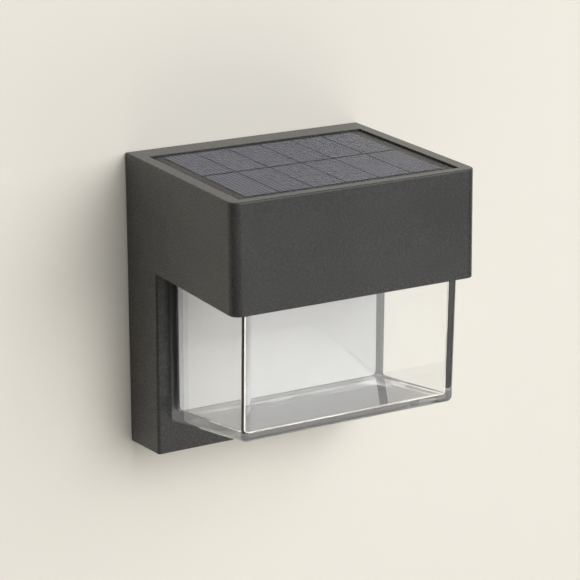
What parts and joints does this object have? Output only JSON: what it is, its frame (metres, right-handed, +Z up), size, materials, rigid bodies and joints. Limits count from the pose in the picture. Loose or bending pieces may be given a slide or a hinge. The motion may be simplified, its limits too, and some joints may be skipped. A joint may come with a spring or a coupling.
{
  "type": "solar wall light",
  "caption": "Box-shaped outdoor wall light: dark inverted-L housing with a solar panel on top, a clear box lens below, and a hook-on wall bracket.",
  "frame": {"origin": "on the wall, midway between the bracket's two screw holes", "axes": "+X to the right seen from the front, +Y into the wall, +Z up"},
  "size_m": [0.132, 0.1122, 0.1506],
  "materials": {
    "housing_plastic": "fine-grained dark grey moulding",
    "clear_plastic": "clear moulding, polished",
    "panel_glass": "clear front sheet of the solar panel",
    "cell_silicon": "grey-blue silicon cells",
    "tinned_ribbon": "tinned copper ribbon",
    "backsheet": "black backsheet",
    "seal_rubber": "black seal",
    "white_gloss": "glossy white",
    "led_phosphor": "LED packages",
    "board_white": "white metal-core board",
    "board_green": "green circuit board",
    "chip_black": "moulded component bodies",
    "aluminium_can": "capacitor can",
    "connector_white": "nylon connectors",
    "battery_sleeve": "plain blue sleeve",
    "nickel": "nickel strip",
    "screw_steel": "zinc-plated steel",
    "bracket_steel": "black powder-coated sheet steel",
    "wire_red": "red insulation",
    "wire_black": "black insulation",
    "cradle_black": "black moulding"
  },
  "bodies": {
    "bracket": {"wall_bracket": "bracket_steel"},
    "lamp": {"housing": "housing_plastic", "rear_cover": "housing_plastic", "lens": "clear_plastic", "solar_glass": "panel_glass", "solar_cells": "cell_silicon", "cell_ribbons": "tinned_ribbon", "solar_backsheet": "backsheet", "panel_seal": "seal_rubber", "lens_seal": "seal_rubber", "rear_seal": "seal_rubber", "button_seal": "seal_rubber", "lead_grommet": "seal_rubber", "led_carrier": "white_gloss", "back_reflector": "white_gloss", "led_board": "board_white", "leds": "led_phosphor", "control_board": "board_green", "board_chips": "chip_black", "boost_coil": "chip_black", "push_switch": "chip_black", "board_capacitor": "aluminium_can", "board_connectors": "connector_white", "battery_cell": "battery_sleeve", "battery_tabs": "nickel", "battery_cradle": "cradle_black", "led_carrier_screws": "screw_steel", "control_board_screws": "screw_steel", "carrier_short_screws": "screw_steel", "rear_cover_screws": "screw_steel", "positive_leads": "wire_red", "negative_leads": "wire_black"},
    "button": {"power_button": "seal_rubber", "switch_plunger": "connector_white"}
  },
  "joints": [
    {"name": "lift_off", "type": "slide", "parent": "bracket", "child": "lamp", "axis": [0, 0, 1], "range_m": [0, 0.008]},
    {"name": "power_press", "type": "slide", "parent": "lamp", "child": "button", "axis": [0, 0, 1], "range_m": [0, 0.0015], "stiffness_N_per_m": 900, "springref_m": -0.001}
  ]
}
